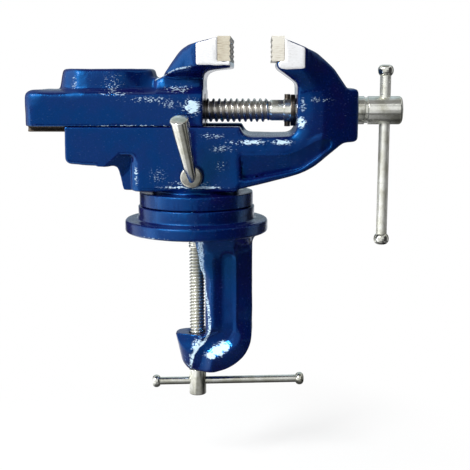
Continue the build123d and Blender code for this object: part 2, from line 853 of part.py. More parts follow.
pocket_width = pocket_right_x - pocket_left_x
pocket_middle = ((pocket_left_x + pocket_right_x) / 2, -pocket_top_drop - pocket_length / 2)

with BuildPart() as clamp_frame:
    extrude(outline(column_side), amount=column_width / 2, both=True)
    back = clamp_frame.faces().filter_by(GeomType.CYLINDER).sort_by(SortBy.AREA)[-1]
    fillet(back.edges().filter_by(GeomType.CIRCLE), radius=column_corner)
    extrude(
        outline(mirrored(column_plan), Plane.XY.offset(frame_bottom_z)),
        amount=frame_depth + plate_thick,
        mode=Mode.INTERSECT,
    )
    extrude(outline(column_root_corners), amount=column_width / 2 - column_corner, both=True)
    # The hollow down the middle of the column on both sides
    for side in (1, -1):
        with BuildSketch(Plane.XZ.offset(side * (column_width / 2 - pocket_depth))):
            with Locations(pocket_middle):
                SlotOverall(pocket_length, pocket_width, rotation=90)
        extrude(amount=side * column_width, mode=Mode.SUBTRACT)
    add(turned(foot_outline, upright_plane))
    add(turned(plate_outline, upright_plane))
    add(turned(post_outline, upright_plane))
    add(
        rod(frame_bottom_z - overrun, foot_top_z + overrun, clamp_dia + 2 * bore_gap, upright_plane),
        mode=Mode.SUBTRACT,
    )
finish(clamp_frame, "clamp_frame")


# Clamp screw: hub with the bar's cross hole, thread, and the nose that the pad turns on
clamp_ridges = int((clamp_tip_z - clamp_shoulder_z) / clamp_pitch)
clamp_thread_x = clamp_tip_z - clamp_ridges * clamp_pitch
clamp_outline = (
    [
        (clamp_shoulder_z - clamp_hub_length, clamp_hub_dia / 2 - clamp_hub_edge),
        (clamp_shoulder_z - clamp_hub_length + clamp_hub_edge, clamp_hub_dia / 2),
        (clamp_shoulder_z, clamp_hub_dia / 2),
        (clamp_shoulder_z, clamp_root_dia / 2),
    ]
    + ridges(clamp_thread_x, clamp_pitch, clamp_ridges, clamp_root_dia, clamp_dia)
    + [
        (clamp_tip_z, clamp_nose_dia / 2),
        (clamp_tip_z + clamp_nose_length, clamp_nose_dia / 2),
    ]
)

with BuildPart() as clamp_screw:
    add(turned(clamp_outline, upright_plane))
    add(
        rod(-clamp_hub_dia, clamp_hub_dia, clamp_bar_dia + 2 * bore_gap, clamp_bar_plane),
        mode=Mode.SUBTRACT,
    )
finish(clamp_screw, "clamp_screw")

pad_outline = [
    (pad_bottom_z, clamp_pad_dia / 2 - clamp_pad_edge),
    (pad_bottom_z + clamp_pad_edge, clamp_pad_dia / 2),
    (pad_top_z, clamp_pad_dia / 2),
]

with BuildPart() as clamp_pad:
    add(turned(pad_outline, upright_plane))
    add(
        rod(
            pad_bottom_z - overrun,
            clamp_tip_z + clamp_nose_length + slide_gap,
            clamp_nose_dia + 2 * bore_gap,
            upright_plane,
        ),
        mode=Mode.SUBTRACT,
    )
finish(clamp_pad, "clamp_pad")


# Clamp handle: sliding bar with a knob pressed on each end
clamp_grip_left = clamp_knob_length - clamp_bar_left
clamp_grip_right = clamp_grip_left + clamp_grip_length

with BuildPart() as clamp_bar:
    add(
        rod(
            clamp_grip_left - knob_socket_depth + seat_gap,
            clamp_grip_right + knob_socket_depth - seat_gap,
            clamp_bar_dia,
            clamp_bar_plane,
        )
    )
finish(clamp_bar, "clamp_bar")

with BuildPart() as clamp_knob_left:
    knob(
        clamp_grip_left,
        clamp_grip_left - clamp_knob_length,
        clamp_knob_dia,
        clamp_bar_dia,
        clamp_bar_plane,
    )
finish(clamp_knob_left, "clamp_knob_left")

with BuildPart() as clamp_knob_right:
    knob(
        clamp_grip_right,
        clamp_grip_right + clamp_knob_length,
        clamp_knob_dia,
        clamp_bar_dia,
        clamp_bar_plane,
    )
finish(clamp_knob_right, "clamp_knob_right")
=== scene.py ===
from math import cos, pi, radians, sin, tan

import bmesh
import bpy
import numpy as np
from mathutils import Matrix, Vector

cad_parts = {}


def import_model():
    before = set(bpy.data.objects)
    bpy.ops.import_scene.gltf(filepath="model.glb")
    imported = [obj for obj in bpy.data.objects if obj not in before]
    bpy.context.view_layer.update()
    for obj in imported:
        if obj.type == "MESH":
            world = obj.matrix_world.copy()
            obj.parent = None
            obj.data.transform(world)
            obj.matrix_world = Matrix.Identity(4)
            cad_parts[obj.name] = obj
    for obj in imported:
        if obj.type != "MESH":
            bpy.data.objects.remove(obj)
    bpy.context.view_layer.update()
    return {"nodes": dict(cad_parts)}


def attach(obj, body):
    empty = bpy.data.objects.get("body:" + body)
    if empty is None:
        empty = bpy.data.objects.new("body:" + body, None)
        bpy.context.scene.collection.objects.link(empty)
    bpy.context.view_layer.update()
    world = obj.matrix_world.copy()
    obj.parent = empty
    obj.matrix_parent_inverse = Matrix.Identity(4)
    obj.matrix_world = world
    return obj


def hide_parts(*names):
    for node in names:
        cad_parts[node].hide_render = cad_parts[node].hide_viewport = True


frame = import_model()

nodes = frame["nodes"]
scene = bpy.context.scene

# Places in the frame that several pieces share, in metres
SCREW_Z = 0.0627  # the main screw's axis
BAR_X = 0.0971  # the main bar's axis
CLAMP_BAR_Z = -0.0828  # the clamp bar's axis
LOCK_X, LOCK_Z = -0.0005, 0.0308  # the lock screw's axis
BODY_HALF = 0.0230  # half the width of body and slide
COLUMN_HALF = 0.0130  # half the width of the clamp's column
RAIL_TOP = 0.0552
SEAM_Z = 0.0139  # where the body turns on the pedestal
PAD_SIDE = 0.02978  # where the machined jaw sides begin
ELBOW_X, ELBOW_Z = 0.0074, -0.0536  # the middle of the elbow's bend
UP, ALONG_X = (0, 0, 1), (1, 0, 0)


# Node helpers
class Tree:
    """Adds shader nodes: values given as sockets are linked, the others are set."""

    def __init__(self, tree):
        self.tree = tree

    def put(self, socket, value):
        if isinstance(value, bpy.types.NodeSocket):
            self.tree.links.new(value, socket)
        elif value is not None:
            socket.default_value = value

    def add(self, kind, inputs=None, out=0, **settings):
        node = self.tree.nodes.new("ShaderNode" + kind)
        for key, value in settings.items():
            setattr(node, key, value)
        for key, value in (inputs or {}).items():
            self.put(node.inputs[key], value)
        return node.outputs[out]

    def math(self, operation, a, b=None):
        return self.add("Math", {0: a, 1: b}, operation=operation)

    def chain(self, operation, values):
        result = values[0]
        for value in values[1:]:
            result = self.math(operation, result, value)
        return result

    def product(self, *values):
        return self.chain("MULTIPLY", values)

    def total(self, *values):
        return self.chain("ADD", values)

    def most(self, *values):
        return self.chain("MAXIMUM", values)

    def minus(self, a, b):
        return self.math("SUBTRACT", a, b)

    def size(self, value):
        return self.math("ABSOLUTE", value)

    def ramp(self, value, low, high, to_low=0.0, to_high=1.0):
        return self.add(
            "MapRange",
            {"Value": value, "From Min": low, "From Max": high, "To Min": to_low, "To Max": to_high},
            interpolation_type="SMOOTHSTEP",
        )

    def fall(self, value, low, high):
        return self.ramp(value, low, high, 1.0, 0.0)

    def band(self, value, low, high, soft):
        return self.product(
            self.ramp(value, low - soft, low + soft), self.fall(value, high - soft, high + soft)
        )

    def noise(self, where, scale, detail=2.0, roughness=0.5):
        return self.add(
            "TexNoise",
            {"Vector": where, "Scale": scale, "Detail": detail, "Roughness": roughness},
        )

    def stretched(self, where, factors):
        return self.add("Mapping", {"Vector": where, "Scale": factors}, vector_type="POINT")

    def vector(self, operation, *values):
        return self.add("VectorMath", dict(enumerate(values)), operation=operation)

    def length(self, vector):
        return self.add("VectorMath", {0: vector}, out="Value", operation="LENGTH")

    def parts(self, vector):
        node = self.tree.nodes.new("ShaderNodeSeparateXYZ")
        self.put(node.inputs[0], vector)
        return node.outputs

    def mix(self, factor, a, b):
        node = self.tree.nodes.new("ShaderNodeMix")
        node.data_type = "RGBA"
        self.put(node.inputs[0], factor)
        self.put(node.inputs[6], a)
        self.put(node.inputs[7], b)
        return node.outputs[2]

    def place(self):
        return self.add("TexCoord", out="Object")


def material(name, **sockets):
    """A Principled material with these uniform values, with its tree and shader."""
    made = bpy.data.materials.new(name)
    made.use_nodes = True
    shader = made.node_tree.nodes["Principled BSDF"]
    for key, value in sockets.items():
        shader.inputs[key.replace("_", " ")].default_value = value
    return made, Tree(made.node_tree), shader


# Materials
# Soft patches, laid out as seen from the side: middle (x, z), reach (x, z), strength
# Where glints are painted as pale flecks, like enamel worn through, on the side faces only:
GLINT_PATCHES = [
    ((-0.0005, 0.0650), (0.0066, 0.0064), 1.0),
    ((-0.0100, 0.0665), (0.0090, 0.0032), 0.5),
    ((-0.0210, 0.0686), (0.0200, 0.0024), 0.5),
    ((-0.0070, 0.0738), (0.0095, 0.0030), 0.6),
    ((-0.0400, 0.0765), (0.0070, 0.0075), 0.4),
    ((0.0100, 0.0508), (0.0085, 0.0024), 0.6),
    ((0.0270, 0.0478), (0.0150, 0.0022), 0.85),
    ((0.0440, 0.0478), (0.0085, 0.0022), 0.85),
    ((0.0140, 0.0445), (0.0095, 0.0030), 0.55),
    ((0.0535, 0.0575), (0.0038, 0.0045), 0.95),
    ((0.0540, 0.0660), (0.0030, 0.0055), 0.45),
    ((0.0620, 0.0686), (0.0095, 0.0020), 0.5),
    ((0.0000, 0.0252), (0.0250, 0.0012), 1.0),
    ((-0.0020, 0.0272), (0.0190, 0.0022), 0.5),
    ((-0.0180, 0.0310), (0.0070, 0.0060), 0.35),
    ((0.0140, 0.0360), (0.0055, 0.0045), 0.35),
    ((-0.0290, 0.0558), (0.0360, 0.0006), 0.6),
    ((0.0010, -0.0610), (0.0062, 0.0080), 0.85),
    ((-0.0030, -0.0685), (0.0042, 0.0060), 0.8),
    ((-0.0588, 0.0765), (0.0024, 0.0060), 0.5),
    ((0.0080, -0.0654), (0.0050, 0.0031), 1.0),
    ((0.0113, -0.0629), (0.0060, 0.0046), 1.0),
    ((0.0148, -0.0602), (0.0052, 0.0044), 1.0),
    ((-0.0180, 0.0010), (0.0130, 0.0010), 0.5),
    ((-0.0380, 0.0712), (0.0110, 0.0019), 0.5),
    ((-0.0284, 0.0310), (0.0014, 0.0080), 0.75),
]
# Where the enamel has lost its gloss, with the roughness that it gains:
DULL = [
    ((-0.0205, 0.0775), (0.0080, 0.0080), 0.30),
    ((-0.0590, 0.0770), (0.0080, 0.0110), 0.30),
    ((-0.0810, 0.0700), (0.0080, 0.0070), 0.30),
    ((0.0530, 0.0530), (0.0060, 0.0060), 0.30),
    ((0.0600, 0.0400), (0.0150, 0.0150), 0.30),
    ((-0.0085, 0.0110), (0.0120, 0.0190), 0.30),
]
# The column's parting line: height, x
RIDGE = [
    (-0.0756, -0.0030),
    (-0.0690, -0.0020),
    (-0.0624, 0.0010),
    (-0.0591, 0.0042),
    (-0.0536, 0.0072),
    (-0.0498, 0.0078),
    (-0.0369, 0.0068),
    (-0.0321, 0.0056),
    (-0.0263, 0.0052),
    (-0.0188, 0.0052),
    (-0.0125, 0.0054),
    (-0.0047, 0.0046),
    (0.0, 0.0038),
]
# The crest along the back of the sliding jaw, where a painted highlight runs: x, height
CREST = [
    (-0.0205, 0.0770),
    (-0.0168, 0.0793),
    (-0.0132, 0.0807),
    (-0.0077, 0.0832),
    (-0.0030, 0.0840),
    (0.0023, 0.0844),
]


def curve_of(t, value, points, bottom, top):
    """A smooth curve through points, for a value between the first and the last.

    Its levels lie between bottom and top.
    """
    node = t.tree.nodes.new("ShaderNodeFloatCurve")
    knots = node.mapping.curves[0].points
    low, high = points[0][0], points[-1][0]
    shares = [((at - low) / (high - low), (level - bottom) / (top - bottom)) for at, level in points]
    knots[0].location, knots[-1].location = shares[0], shares[-1]
    for share in shares[1:-1]:
        knots.new(*share)
    node.mapping.update()
    t.put(node.inputs["Value"], t.math("DIVIDE", t.minus(value, low), high - low))
    return t.total(t.product(node.outputs[0], top - bottom), bottom)


def patches(t, place, rows, full):
    """The strongest of the soft patches at a place; full is the share of the reach with full strength."""
    masks = []
    for (px, pz), (rx, rz), strength in rows:
        away = t.vector("MULTIPLY_ADD", place, (1 / rx, 0, 1 / rz), (-px / rx, 0, -pz / rz))
        masks.append(t.ramp(t.length(away), full, 1.0, strength, 0.0))
    return t.most(*masks)


def enamel():
    """Deep blue gloss enamel over a cast skin: highlights painted as pale flecks on patches, the column's
    bevel and the jaw's crest, slow waves, uneven depth.
    """
    made, t, shader = material(
        "blue_enamel",
        IOR=1.95,
        Specular_Tint=(0.014, 0.34, 1.0, 1),
        Coat_Weight=0.06,
        Coat_Roughness=0.14,
    )
    # The third colour is the pale one of the painted highlights
    deep, bright, glint_pale = (0.0030, 0.0022, 0.045, 1), (0.0006, 0.0038, 0.050, 1), (0.52, 0.66, 0.74, 1)
    place = t.place()
    x, y, z = t.parts(place)
    side = t.size(y)
    line = t.minus(x, curve_of(t, z, RIDGE, -0.01, 0.01))

    # The painted glint patches lie on the side faces only, and leave a gap right of the column's parting line
    clear = t.product(t.band(line, 0.0002, 0.0040, 0.0004), t.fall(z, -0.052, -0.050))
    glints = t.product(patches(t, place, GLINT_PATCHES, 0.25), t.ramp(side, 0.0070, 0.0095), t.minus(1.0, clear))

    # A painted highlight on the bevel left of the parting line, widest under the plate
    top = t.band(z, -0.0200, -0.0045, 0.0025)
    beside = t.total(line, t.total(0.0006, t.product(top, 0.0020)))
    wide = t.total(0.0014, t.product(top, 0.0016))
    bevel = t.product(
        t.fall(t.math("DIVIDE", t.size(beside), wide), 0.25, 1.0),
        t.ramp(side, 0.0048, 0.0068),
        t.fall(z, -0.002, -0.001),
    )

    crest_glint = t.product(
        t.fall(t.size(t.minus(z, curve_of(t, x, CREST, 0.07, 0.09))), 0.0002, 0.0007),
        t.ramp(side, 0.010, 0.014),
        t.band(x, -0.0200, 0.0000, 0.0006),
    )

    # Painted highlights: pale flecks grow out of fine noise where the glint patches, the bevel and the crest
    # lift it
    broken = t.ramp(t.noise(place, 330, 2, 0.6), 0.30, 0.54)
    flecks = t.noise(t.stretched(place, (760, 1000, 2300)), 1.0, 1, 0.5)
    lift = t.total(
        t.product(glints, broken, 0.33),
        t.ramp(glints, 0.70, 1.0, 0.0, 0.18),
        t.product(bevel, t.total(0.24, t.product(top, 0.04))),
        t.product(crest_glint, 0.27),
    )
    reach = t.most(t.product(glints, 1.15), bevel, t.product(crest_glint, 0.6))
    glint_tips = t.ramp(t.total(flecks, lift), 0.66, 0.78)
    glint_tips = t.product(glint_tips, t.math("MINIMUM", 1.0, t.total(reach, 0.05)))
    colour = t.mix(t.ramp(t.noise(place, 70, 3, 0.6), 0.38, 0.62), deep, bright)
    shader.inputs["Base Color"].default_value = bright
    # The pale flecks paint highlights into the enamel's colour
    t.put(shader.inputs["Base Color"], t.mix(glint_tips, colour, glint_pale))
    gloss = t.total(t.ramp(glint_tips, 0.0, 1.0, 0.2, 0.4), patches(t, place, DULL, 0.4))
    t.put(shader.inputs["Roughness"], gloss)

    # The cast skin, smoother on the elbow
    elbow = t.length(t.vector("MULTIPLY_ADD", place, (110, 0, 140), (-1.30, 0, 8.80)))
    skin = t.product(t.noise(place, 420, 2, 0.5), t.ramp(elbow, 0.6, 1.2, 0.35, 1.0))
    grains = t.product(t.noise(place, 1300, 1, 0.5), t.total(0.03, t.product(glints, broken, 0.4)))
    height = t.total(t.product(skin, 0.12), grains)
    bump = t.add("Bump", {"Strength": 1.0, "Distance": 0.0006, "Height": height})
    t.put(shader.inputs["Normal"], bump)
    t.put(shader.inputs["Coat Normal"], bump)
    return made


def turned_steel(name, base, dark, roughness, axis, lines=2600, depth=0.00002, metallic=1.0):
    """Bright turned or drawn metal with fine lines round its axis and uneven polish."""
    made, t, shader = material(name, Metallic=metallic)
    place = t.place()
    stretch = [60.0, 60.0, 60.0]
    stretch[axis] = lines
    fine = t.noise(t.stretched(place, stretch), 1.0, 2, 0.5)
    cloud = t.noise(place, 160, 3, 0.6)
    t.put(shader.inputs["Base Color"], t.mix(t.ramp(cloud, 0.35, 0.7), base, dark))
    t.put(shader.inputs["Roughness"], t.ramp(fine, 0.2, 0.8, roughness * 0.75, roughness * 1.3))
    t.put(shader.inputs["Normal"], t.add("Bump", {"Strength": 0.35, "Distance": depth, "Height": fine}))
    return made


def ground_steel(name, base, dark, roughness, factors, x_face_shade=None):
    """Bare ground faces: straight fine scratches, whitish, with faint stains.

    The grip colour paints the faces along x darker, as painted shade on the gripping faces.
    """
    made, t, shader = material(name, Metallic=0.65)
    place = t.place()
    fine = t.noise(t.stretched(place, factors), 1.0, 3, 0.6)
    cloud = t.noise(place, 120, 3, 0.6)
    amount = t.product(t.ramp(fine, 0.35, 0.75), t.ramp(cloud, 0.3, 0.7))
    colour = t.mix(amount, base, dark)
    if x_face_shade:
        facing = t.size(t.parts(t.add("TexCoord", out="Normal"))[0])
        colour = t.mix(t.ramp(facing, 0.4, 0.6), colour, x_face_shade)
    t.put(shader.inputs["Base Color"], colour)
    t.put(shader.inputs["Roughness"], t.ramp(fine, 0.2, 0.8, roughness * 0.8, roughness * 1.25))
    t.put(shader.inputs["Normal"], t.add("Bump", {"Strength": 0.4, "Distance": 0.00004, "Height": fine}))
    return made


def thread_steel(name, base, groove, height, axis, low, high, roughness):
    """Screw thread: bright crests and darker grooves, told apart by distance from the axis.

    The axis runs at this height along x, y or z. The grooves end near the radius low, the crests near high.
    """
    made, t, shader = material(name, Metallic=1.0)
    place = t.place()
    flat = [1.0, 1.0, 1.0]
    flat[axis] = 0.0
    radius = t.length(t.vector("MULTIPLY", t.vector("SUBTRACT", place, (0, 0, height)), flat))
    cloud = t.noise(place, 420, 3, 0.6)
    step = high - low
    depth = t.ramp(t.total(radius, t.product(cloud, step * 0.5)), low + step * 0.25, high + step * 0.2)
    t.put(shader.inputs["Base Color"], t.mix(depth, groove, base))
    t.put(shader.inputs["Roughness"], t.ramp(depth, 0.0, 1.0, min(1.0, roughness * 2.2), roughness))
    return made


blue_enamel = enamel()
NICKEL, NICKEL_DULL = (0.86, 0.87, 0.82, 1), (0.62, 0.62, 0.53, 1)
nickel_x = turned_steel("nickel_turned_x", NICKEL, NICKEL_DULL, 0.22, 0)
nickel_z = turned_steel("nickel_turned_z", NICKEL, NICKEL_DULL, 0.18, 2)
# The lock screw's head is the same nickel painted darker: painted shade under the lever
nickel_painted_shade = turned_steel("nickel_painted_shade", (0.52, 0.52, 0.47, 1), (0.26, 0.25, 0.22, 1), 0.26, 1)
nickel_bar = turned_steel("nickel_bar", NICKEL, NICKEL_DULL, 0.34, 2, metallic=0.78)
nickel_hub = turned_steel("nickel_hub", NICKEL, NICKEL_DULL, 0.20, 0, metallic=0.96)
nickel_plain = turned_steel("nickel_plain", NICKEL, NICKEL_DULL, 0.16, 2, lines=300, depth=0.00001)
dark_steel = turned_steel("dark_steel", (0.14, 0.12, 0.10, 1), (0.05, 0.04, 0.03, 1), 0.34, 0, lines=900)
PAD_LINES, PLATE_LINES, IRON_LINES = (500, 500, 3000), (250, 900, 2600), (300, 2000, 2000)
pad_steel = ground_steel("ground_jaw_side", (0.80, 0.81, 0.83, 1), (0.62, 0.62, 0.62, 1), 0.5, PAD_LINES)
plate_steel = ground_steel(
    "jaw_plate_steel",
    (0.64, 0.60, 0.49, 1),
    (0.22, 0.15, 0.08, 1),
    0.42,
    PLATE_LINES,
    (0.10, 0.085, 0.065, 1),
)
# The fixed jaw's plate is the same steel in a brighter copy: painted light, with painted shade on its
# gripping faces
plate_steel_lit = ground_steel(
    "fixed_plate_painted_light",
    (0.80, 0.78, 0.70, 1),
    (0.50, 0.45, 0.36, 1),
    0.42,
    PLATE_LINES,
    (0.24, 0.22, 0.18, 1),
)
bare_iron = ground_steel("bare_iron", (0.07, 0.055, 0.04, 1), (0.02, 0.015, 0.01, 1), 0.55, IRON_LINES)
spindle_steel = thread_steel(
    "spindle_thread", (0.88, 0.86, 0.81, 1), (0.16, 0.135, 0.11, 1), SCREW_Z, 0, 0.0042, 0.0054, 0.26
)
clamp_steel = thread_steel(
    "clamp_thread", (0.84, 0.85, 0.80, 1), (0.40, 0.40, 0.34, 1), 0, 2, 0.0033, 0.0040, 0.2
)


# Mesh helpers
def coat(target, finish):
    target.data.materials.clear()
    target.data.materials.append(finish)


def piece(name, mesh, body, node, finish=None):
    """A new piece that rides on a body in place of a CAD node; without a finish it keeps its own."""
    made = bpy.data.objects.new(name, mesh)
    scene.collection.objects.link(made)
    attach(made, body)
    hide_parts(node)
    if finish:
        coat(made, finish)


def evaluated(mesh, kind, **settings):
    """The mesh after one modifier."""
    temp = bpy.data.objects.new("temp", mesh)
    scene.collection.objects.link(temp)
    modifier = temp.modifiers.new("work", kind)
    for key, value in settings.items():
        setattr(modifier, key, value)
    done = bpy.data.meshes.new_from_object(temp.evaluated_get(bpy.context.evaluated_depsgraph_get()))
    bpy.data.objects.remove(temp)
    return done


def get_array(group, key, width, kind=np.float64):
    flat = np.empty(len(group) * width, dtype=kind)
    group.foreach_get(key, flat)
    return flat.reshape(-1, width)


def set_coords(mesh, coords):
    mesh.vertices.foreach_set("co", coords.ravel())
    mesh.update()


def smoothed(coords, edges, weight, rounds, axes=(0, 1, 2)):
    """Laplacian smoothing, weighted by vertex: it rounds the edges as a sand casting has them."""
    size = len(coords)
    count = np.bincount(edges.ravel(), minlength=size)
    for _ in range(rounds):
        for axis in axes:
            line = coords[:, axis]
            total = np.bincount(edges[:, 0], line[edges[:, 1]], size)
            total += np.bincount(edges[:, 1], line[edges[:, 0]], size)
            coords[:, axis] = line + 0.5 * weight * (total / count - line)
    return coords


def waves(coords, seed, length, terms=14):
    """Smooth seeded unevenness between about -1 and 1, with this wavelength in metres."""
    source = np.random.default_rng(seed)
    total = np.zeros(len(coords))
    for _ in range(terms):
        direction = source.normal(size=3)
        direction /= np.linalg.norm(direction)
        stride = 2 * pi / (length * source.uniform(0.7, 1.5))
        total += np.sin(coords @ direction * stride + source.uniform(0, 2 * pi))
    return total / (terms / 2) ** 0.5 / 1.6


def near(values, place, width):
    """A bell of height 1 about a place."""
    return np.exp(-(((values - place) / width) ** 2))


def rise(values, low, high):
    """A smooth step from 0 at low to 1 at high."""
    share = np.clip((values - low) / (high - low), 0, 1)
    return share * share * (3 - 2 * share)


VOXEL = 0.00055
EDGE_ROUNDS, SIDE_ROUNDS, CARVED_ROUNDS = 16, 160, 3  # rounds of smoothing
KEPT_FACES = 0.35
LONG_WAVE, SHORT_WAVE = (0.00010, 0.016), (0.00003, 0.005)  # height and length of the skin's waves


def casting(node, seed, keep_crisp, soft, shape):
    """A cast form of a CAD node: rounded edges and a slightly wavy skin, with crisp machined seats.

    soft() says where the side faces run into each other without an edge, shape() carves the result.
    """
    mesh = nodes[node].data.copy()
    work = bmesh.new()
    work.from_mesh(mesh)
    bmesh.ops.remove_doubles(work, verts=work.verts, dist=1e-6)
    work.to_mesh(mesh)
    work.free()
    mesh.materials.clear()
    mesh = evaluated(mesh, "REMESH", mode="VOXEL", voxel_size=VOXEL, adaptivity=0.0)
    coords = get_array(mesh.vertices, "co", 3)
    edges = get_array(mesh.edges, "vertices", 2, np.int64)
    crisp = np.clip(keep_crisp(*coords.T), 0, 1)
    coords = smoothed(coords, edges, 1 - crisp, EDGE_ROUNDS)
    if soft:
        weight = np.clip(soft(*coords.T), 0, 1) * (1 - crisp)
        coords = smoothed(coords, edges, weight, SIDE_ROUNDS, axes=(1,))
    coords = smoothed(shape(coords), edges, 1 - crisp, CARVED_ROUNDS)
    set_coords(mesh, coords)
    normals = get_array(mesh.vertex_normals, "vector", 3)
    (long_high, long_length), (short_high, short_length) = LONG_WAVE, SHORT_WAVE
    lift = long_high * waves(coords, seed, long_length) + short_high * waves(coords, seed + 50, short_length)
    coords = coords + normals * (lift * np.clip(1 - 1.3 * crisp, 0, 1))[:, None]
    set_coords(mesh, coords)
    mesh = evaluated(mesh, "DECIMATE", ratio=KEPT_FACES)
    mesh.shade_smooth()
    return mesh


def cut(mesh, place, normal):
    """Adds an edge loop where a plane crosses the mesh."""
    work = bmesh.new()
    work.from_mesh(mesh)
    parts = work.verts[:] + work.edges[:] + work.faces[:]
    bmesh.ops.bisect_plane(work, geom=parts, dist=1e-7, plane_co=place, plane_no=normal)
    work.to_mesh(mesh)
    work.free()


def cut_sides(mesh):
    for side in (1, -1):
        cut(mesh, (0, side * PAD_SIDE, 0), (0, side, 0))


def paint(mesh, materials, choose):
    """Gives each face the material whose number choose() returns for its middle."""
    mesh.materials.clear()
    for one in materials:
        mesh.materials.append(one)
    for face in mesh.polygons:
        face.material_index = choose(face.center)
        face.use_smooth = True


def rounded(points, radius, steps=4):
    """An outline with its corners rounded."""
    points = [Vector(p) for p in points]
    out = [points[0]]
    for before, here, after in zip(points, points[1:], points[2:]):
        reach = min(radius, (here - before).length * 0.48, (after - here).length * 0.48)
        a = here + (before - here).normalized() * reach
        b = here + (after - here).normalized() * reach
        for k in range(steps + 1):
            s = k / steps
            out.append(a * (1 - s) ** 2 + here * (2 * s * (1 - s)) + b * s * s)
    return out + [points[-1]]


def frame_of(origin, direction):
    """A matrix whose Z axis runs along the direction from the origin."""
    turn = Vector(direction).normalized().to_track_quat("Z", "Y").to_matrix().to_4x4()
    return Matrix.Translation(Vector(origin)) @ turn


def finished(work, name):
    """A mesh from this working form, which is let go."""
    mesh = bpy.data.meshes.new(name)
    work.to_mesh(mesh)
    work.free()
    return mesh


def smooth_with_edges(mesh):
    mesh.shade_smooth()
    mesh.set_sharp_from_angle(angle=radians(35))
    return mesh


def turned(outline, origin, direction, segments=96):
    """A turned form about an axis from an outline of (along, radius), capped at both ends."""
    work = bmesh.new()
    angles = [2 * pi * k / segments for k in range(segments)]
    rows = []
    for along, radius in outline:
        rows.append([work.verts.new((radius * cos(a), radius * sin(a), along)) for a in angles])
    for low, high in zip(rows, rows[1:]):
        for k in range(segments):
            n = (k + 1) % segments
            work.faces.new((low[k], low[n], high[n], high[k]))
    work.faces.new(rows[0][::-1])
    work.faces.new(rows[-1])
    work.transform(frame_of(origin, direction))
    bmesh.ops.recalc_face_normals(work, faces=work.faces[:])
    return smooth_with_edges(finished(work, "turned"))


# A thread's section over one lead: share of the lead, share of its height
THREAD_SECTION = [
    (0.0, 0.0), (0.22, 0.0), (0.30, 0.08), (0.47, 0.88), (0.54, 1.0), (0.70, 1.0), (0.77, 0.88), (0.94, 0.08),
]


def thread(start, end, lead, root, crest_glint, place_of, segments=56, fade=1.0):
    """A right-hand helical thread along an axis: place_of(along, x, y) puts its points in the frame.

    It grows out of the root within fade leads of each end.
    """
    steps = len(THREAD_SECTION)
    turns = int((end - start) / lead) - 1
    work = bmesh.new()
    grid = []
    for i in range(turns * segments + 1):
        angle = 2 * pi * i / segments
        row = []
        for share, level in THREAD_SECTION:
            along = start + lead * (i / segments + share)
            edge = min(along - start - 0.3 * lead, end - 0.3 * lead - along) / (fade * lead)
            radius = root + (crest_glint - root) * level * max(0.0, min(1.0, edge))
            row.append(work.verts.new(place_of(along, radius * cos(angle), radius * sin(angle))))
        grid.append(row)
    for i in range(len(grid) - 1):
        for k in range(steps - 1):
            work.faces.new((grid[i][k], grid[i][k + 1], grid[i + 1][k + 1], grid[i + 1][k]))
        if i + segments + 1 < len(grid):
            work.faces.new((grid[i][-1], grid[i + segments][0], grid[i + segments + 1][0], grid[i + 1][-1]))
    bmesh.ops.recalc_face_normals(work, faces=work.faces[:])
    mesh = finished(work, "thread")
    mesh.shade_smooth()
    return mesh


def joined(*meshes):
    work = bmesh.new()
    for one in meshes:
        work.from_mesh(one)
    return finished(work, "joined")


def drilled(mesh, tool):
    """The mesh with a hole in the shape of the tool."""
    cutter = bpy.data.objects.new("cutter", tool)
    scene.collection.objects.link(cutter)
    mesh = evaluated(mesh, "BOOLEAN", operation="DIFFERENCE", object=cutter, solver="EXACT")
    bpy.data.objects.remove(cutter)
    return smooth_with_edges(mesh)


# The body's casting, with the fixed jaw
def body_crisp(x, y, z):
    seat = near(x, 0.0448, 0.0016) * (z > 0.0845)
    pad = (abs(y) > 0.0285) * (z > 0.0835) * (x > 0.043) * 0.7
    groove = (z > 0.0515) * (z < 0.0548) * (abs(y) < 0.0175) * (x < 0.024)
    way = 0.75 * near(z, RAIL_TOP, 0.0012) * (x < 0.0245) + groove
    seam = 0.9 * near(z, SEAM_Z, 0.0009)
    boss = 0.4 * near(x, 0.0824, 0.0015)
    rim = 0.92 * near(np.hypot(x, y), 0.0297, 0.0012) * (z < 0.0222)
    return seat + pad + way + seam + boss + rim


def body_soft(x, y, z):
    side = rise(abs(y), 0.008, 0.014)
    pad = rise(0.0610 - x, 0.0, 0.003) * rise(z, 0.0785, 0.0815)
    return side * rise(z, 0.046, 0.052) * rise(x, 0.040, 0.050) * (1 - pad)


# The arm's hollow: x, and the heights of its lower and upper edge there
WEB = [
    (0.0220, 0.0286, 0.0412),
    (0.0340, 0.0296, 0.0412),
    (0.0400, 0.0316, 0.0412),
    (0.0460, 0.0332, 0.0416),
    (0.0520, 0.0348, 0.0434),
    (0.0580, 0.0388, 0.0467),
    (0.0610, 0.0410, 0.0485),
    (0.0640, 0.0430, 0.0491),
    (0.0670, 0.0450, 0.0489),
    (0.0700, 0.0470, 0.0480),
]
WEB_X, WEB_FOOT, WEB_TOP = zip(*WEB)
TAPER_X, TAPER = 0.0636, 0.479  # where the arm begins to narrow, and how steeply


